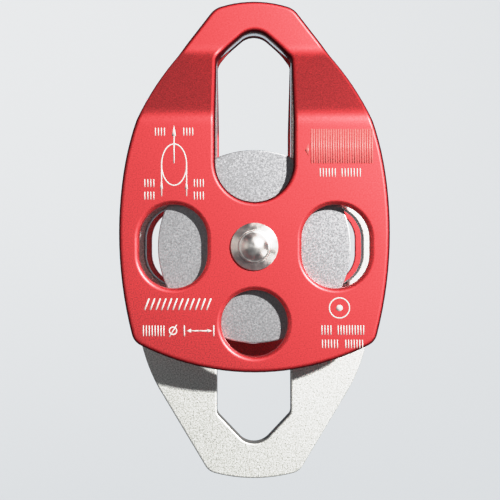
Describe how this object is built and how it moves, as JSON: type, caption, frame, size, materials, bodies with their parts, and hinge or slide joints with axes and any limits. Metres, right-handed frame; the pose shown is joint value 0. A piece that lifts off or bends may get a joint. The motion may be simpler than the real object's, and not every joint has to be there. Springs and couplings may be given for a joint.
{
  "type": "rope pulley",
  "caption": "Double rope pulley: grooved sheaves beside a centre plate with an anchor eye above and a becket eye below, under swinging red cheeks.",
  "frame": {"origin": "centre of the anchor eye's crown, halfway through the centre plate", "axes": "+Z from the axle up to the anchor eye, -Y out of the front cheek along the axle, +X to the right seen from the front"},
  "size_m": [0.1, 0.0596, 0.186],
  "materials": {
    "cheek_red": "bead-blasted and anodised red, satin",
    "plate_silver": "bead-blasted, clear anodised",
    "sheave_aluminium": "turned and tumbled, clear anodised",
    "axle_steel": "polished stainless steel",
    "spacer_aluminium": "turned",
    "bearing_steel": "ground",
    "ball_steel": "polished",
    "cage_plastic": "moulded",
    "shield_steel": "pressed sheet",
    "spring_steel": "phosphated",
    "marking_white": "laser mark"
  },
  "bodies": {
    "frame": {"center_plate": "plate_silver", "axle": "axle_steel", "front_head_washer": "axle_steel", "rear_head_washer": "axle_steel", "front_outer_spacer": "spacer_aluminium", "front_inner_spacer": "spacer_aluminium", "rear_inner_spacer": "spacer_aluminium", "rear_outer_spacer": "spacer_aluminium", "front_bearing_inner_ring": "bearing_steel", "rear_bearing_inner_ring": "bearing_steel"},
    "front_cheek": {"front_cheek": "cheek_red"},
    "rear_cheek": {"rear_cheek": "cheek_red"},
    "front_sheave": {"front_sheave": "sheave_aluminium", "front_bearing_outer_ring": "bearing_steel", "front_bearing_outer_shield": "shield_steel", "front_bearing_inner_shield": "shield_steel", "front_retaining_ring": "spring_steel"},
    "rear_sheave": {"rear_sheave": "sheave_aluminium", "rear_bearing_outer_ring": "bearing_steel", "rear_bearing_outer_shield": "shield_steel", "rear_bearing_inner_shield": "shield_steel", "rear_retaining_ring": "spring_steel"},
    "front_ball_set": {"front_bearing_balls": "ball_steel", "front_bearing_cage": "cage_plastic"},
    "rear_ball_set": {"rear_bearing_balls": "ball_steel", "rear_bearing_cage": "cage_plastic"}
  },
  "joints": [
    {"name": "front_cheek_swing", "type": "hinge", "parent": "frame", "child": "front_cheek", "pos_m": [0, 0, -0.0756], "axis": [0, 1, 0], "continuous": true},
    {"name": "rear_cheek_swing", "type": "hinge", "parent": "frame", "child": "rear_cheek", "pos_m": [0, 0, -0.0756], "axis": [0, 1, 0], "continuous": true},
    {"name": "front_sheave_spin", "type": "hinge", "parent": "frame", "child": "front_sheave", "pos_m": [0, 0, -0.0756], "axis": [0, 1, 0], "continuous": true},
    {"name": "rear_sheave_spin", "type": "hinge", "parent": "frame", "child": "rear_sheave", "pos_m": [0, 0, -0.0756], "axis": [0, 1, 0], "continuous": true},
    {"name": "front_ball_set_spin", "type": "hinge", "parent": "frame", "child": "front_ball_set", "pos_m": [0, 0, -0.0756], "axis": [0, 1, 0], "continuous": true},
    {"name": "rear_ball_set_spin", "type": "hinge", "parent": "frame", "child": "rear_ball_set", "pos_m": [0, 0, -0.0756], "axis": [0, 1, 0], "continuous": true}
  ],
  "couplings": [
    {"joint": "front_ball_set_spin", "follows": "front_sheave_spin", "ratio": 0.6353},
    {"joint": "rear_ball_set_spin", "follows": "rear_sheave_spin", "ratio": 0.6353}
  ]
}
